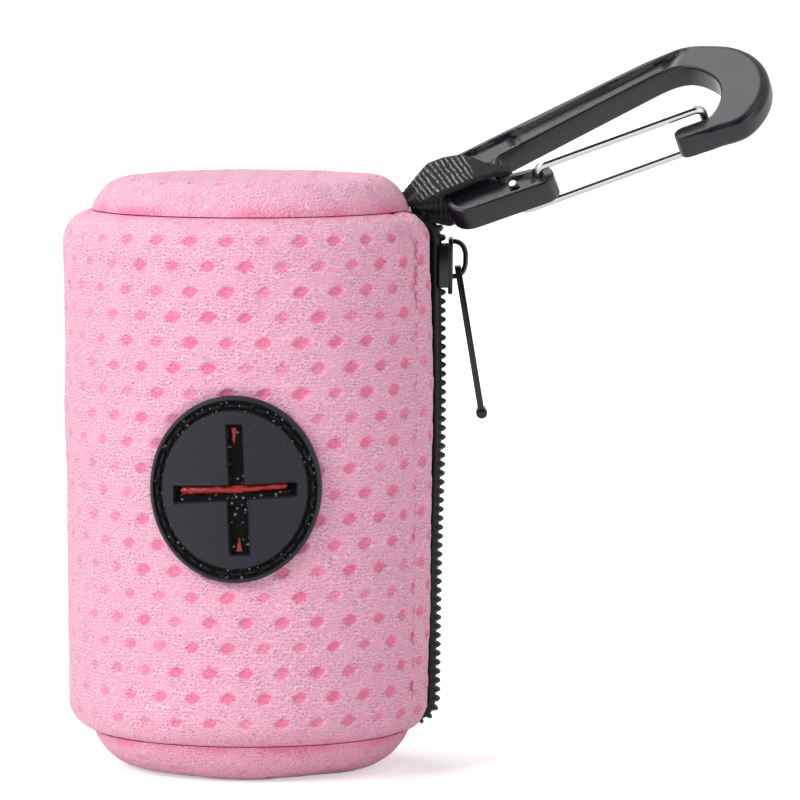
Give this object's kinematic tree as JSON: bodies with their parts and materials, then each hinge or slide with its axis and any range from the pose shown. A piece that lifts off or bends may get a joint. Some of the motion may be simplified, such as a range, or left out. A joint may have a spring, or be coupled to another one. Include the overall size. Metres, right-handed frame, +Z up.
{
  "type": "dog poop bag dispenser",
  "caption": "Zipped round mesh pouch that holds a roll of waste bags, with a rubber slit patch to pull them through and a wire gate carabiner on a webbing loop.",
  "frame": {"origin": "centre of the pouch's flat underside", "axes": "+Z up along the pouch's axis, -Y out of the slit patch's side, +X out of the zip"},
  "size_m": [0.0939, 0.0512, 0.0962],
  "materials": {
    "mesh_fabric": "spacer mesh",
    "binding_tape": "woven tape",
    "pink_thread": "polyester thread",
    "zip_tape": "woven tape",
    "zip_coil": "nylon coil",
    "slider_enamel": "gloss black enamel",
    "pull_enamel": "black enamel",
    "patch_rubber": "moulded matt",
    "black_thread": "waxed thread",
    "bag_film": "thin film",
    "core_board": "kraft tube",
    "webbing": "ribbed webbing",
    "carabiner_plastic": "moulded acetal, satin",
    "gate_wire": "polished stainless wire"
  },
  "bodies": {
    "pouch": {"wall_panel": "mesh_fabric", "top_cap": "mesh_fabric", "bottom_cap": "mesh_fabric", "top_seam_binding": "binding_tape", "bottom_seam_binding": "binding_tape", "top_seam_stitching": "pink_thread", "bottom_seam_stitching": "pink_thread", "zip_tape_front": "zip_tape", "zip_tape_rear": "zip_tape", "zip_coil_front": "zip_coil", "zip_coil_rear": "zip_coil", "zip_topstitch_front": "pink_thread", "zip_topstitch_rear": "pink_thread", "slit_patch": "patch_rubber", "patch_stitching": "black_thread", "bag_tail": "bag_film"},
    "slider": {"slider_body": "slider_enamel", "slider_crown": "slider_enamel"},
    "pull": {"pull_tab": "pull_enamel"},
    "roll": {"bag_roll": "bag_film", "roll_core": "core_board"},
    "strap": {"strap_loop": "webbing"},
    "carabiner": {"carabiner_frame": "carabiner_plastic"},
    "gate": {"wire_gate": "gate_wire"}
  },
  "joints": [
    {"name": "slider_travel", "type": "slide", "parent": "pouch", "child": "slider", "axis": [-0.0116, 0, -0.9999], "range_m": [0, 0.046], "deforming": ["zip_coil_front", "zip_coil_rear"]},
    {"name": "pull_swing", "type": "hinge", "parent": "slider", "child": "pull", "pos_m": [0.02736, 0, 0.06599], "axis": [0, -1, 0], "range_deg": [0, 75]},
    {"name": "roll_spin", "type": "hinge", "parent": "pouch", "child": "roll", "pos_m": [0, 0, 0.0337], "axis": [0, 0, 1], "continuous": true},
    {"name": "strap_fold", "type": "hinge", "parent": "pouch", "child": "strap", "pos_m": [0.02215, -0.00042, 0.07545], "axis": [0, -1, 0], "range_deg": [0, 85], "deforming": ["strap_loop"]},
    {"name": "carabiner_turn", "type": "hinge", "parent": "strap", "child": "carabiner", "pos_m": [0.02826, -0.00176, 0.07648], "axis": [-0.9397, 0, -0.342], "range_deg": [0, 45]},
    {"name": "gate_open", "type": "hinge", "parent": "carabiner", "child": "gate", "pos_m": [0.03668, -0.0049, 0.07674], "axis": [-0.262, -0.6428, 0.7198], "range_deg": [0, 22], "stiffness_Nm_per_rad": 0.05, "springref_deg": -5.73}
  ]
}
